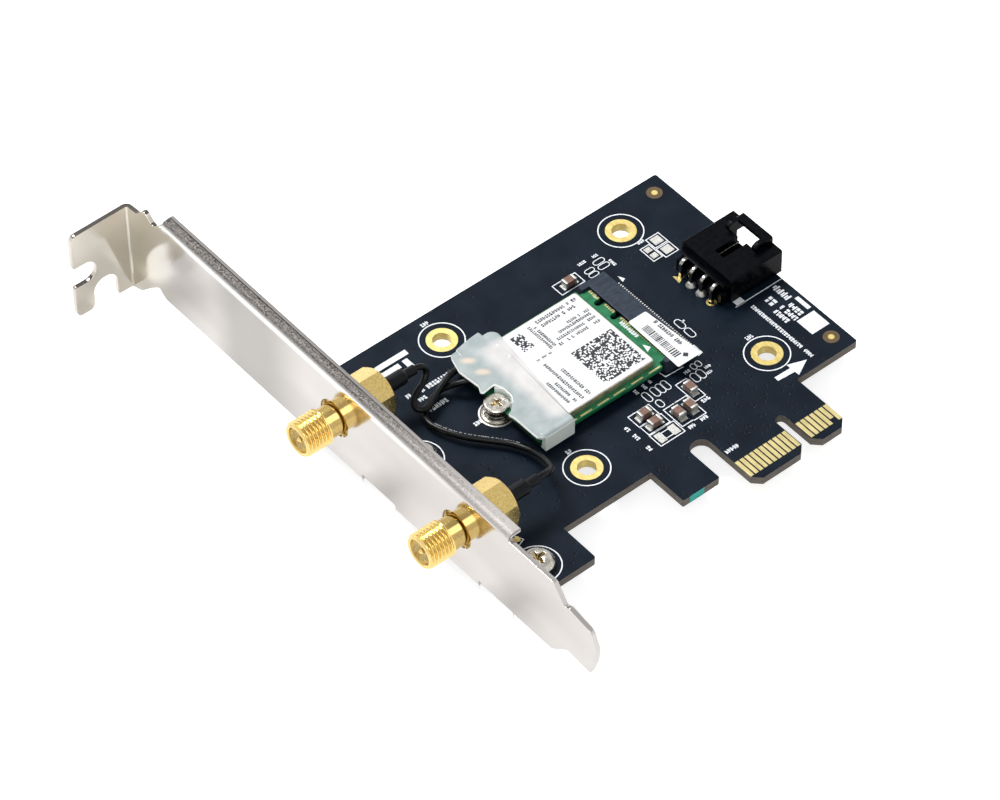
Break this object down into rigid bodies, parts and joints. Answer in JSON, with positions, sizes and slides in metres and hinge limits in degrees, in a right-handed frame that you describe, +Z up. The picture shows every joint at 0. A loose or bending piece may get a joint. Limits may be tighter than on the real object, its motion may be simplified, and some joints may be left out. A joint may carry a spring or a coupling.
{
  "type": "wireless expansion card",
  "caption": "Expansion card with a folded bracket, threaded antenna jacks, thin coaxial cables and a wireless module under a clip, for a computer's slot.",
  "frame": {"origin": "middle of the key notch at the end of the edge connector, on the board's top face", "axes": "+X away from the bracket along the edge connector, +Y towards the bracket's screw tab, +Z up from the component side"},
  "size_m": [0.0919, 0.12, 0.0226],
  "materials": {
    "solder_mask": "glossy dark blue-black solder mask over glass laminate",
    "gold_plating": "thin bright gold plating",
    "nickel_plate": "bright nickel-plated folded sheet steel",
    "bright_steel": "bright nickel-plated steel",
    "gold_brass": "gold-plated turned brass",
    "white_dielectric": "white fluoropolymer",
    "heat_shrink": "satin black shrunk tube",
    "cable_jacket": "smooth black cable jacket",
    "green_mask": "glossy green solder mask",
    "shield_metal": "tinned sheet metal",
    "white_label": "satin white label",
    "black_moulding": "matt moulded package",
    "slate_moulding": "satin slate-grey moulding",
    "tinned_metal": "tinned, satin bright",
    "plug_metal": "pale gold plating",
    "milky_plastic": "translucent milky moulding",
    "black_gloss": "glossy black moulding",
    "brown_ceramic": "satin brown ceramic"
  },
  "bodies": {
    "root": {"circuit_board": "solder_mask", "edge_contacts": "gold_plating", "plated_holes": "gold_plating", "bracket": "nickel_plate", "bracket_screw_lower": "bright_steel", "bracket_screw_upper": "bright_steel", "module_screw": "bright_steel", "standoff": "tinned_metal", "antenna_jack_a": "gold_brass", "antenna_jack_b": "gold_brass", "jack_insulator_a": "white_dielectric", "jack_insulator_b": "white_dielectric", "jack_contact_a": "gold_plating", "jack_contact_b": "gold_plating", "sleeve_a": "heat_shrink", "sleeve_b": "heat_shrink", "coax_cable_a": "cable_jacket", "coax_cable_b": "cable_jacket", "module_board": "green_mask", "module_shield": "shield_metal", "module_label": "white_label", "radio_chips": "black_moulding", "socket_housing": "slate_moulding", "socket_tails": "tinned_metal", "socket_label": "white_label", "coax_receptacles": "gold_plating", "coax_plug_a": "plug_metal", "coax_plug_b": "plug_metal", "antenna_clip": "milky_plastic", "header_housing": "black_gloss", "header_pins": "tinned_metal", "header_solder": "tinned_metal", "capacitor_bodies": "brown_ceramic", "capacitor_ends": "tinned_metal", "solder_pads": "tinned_metal"}
  },
  "joints": []
}
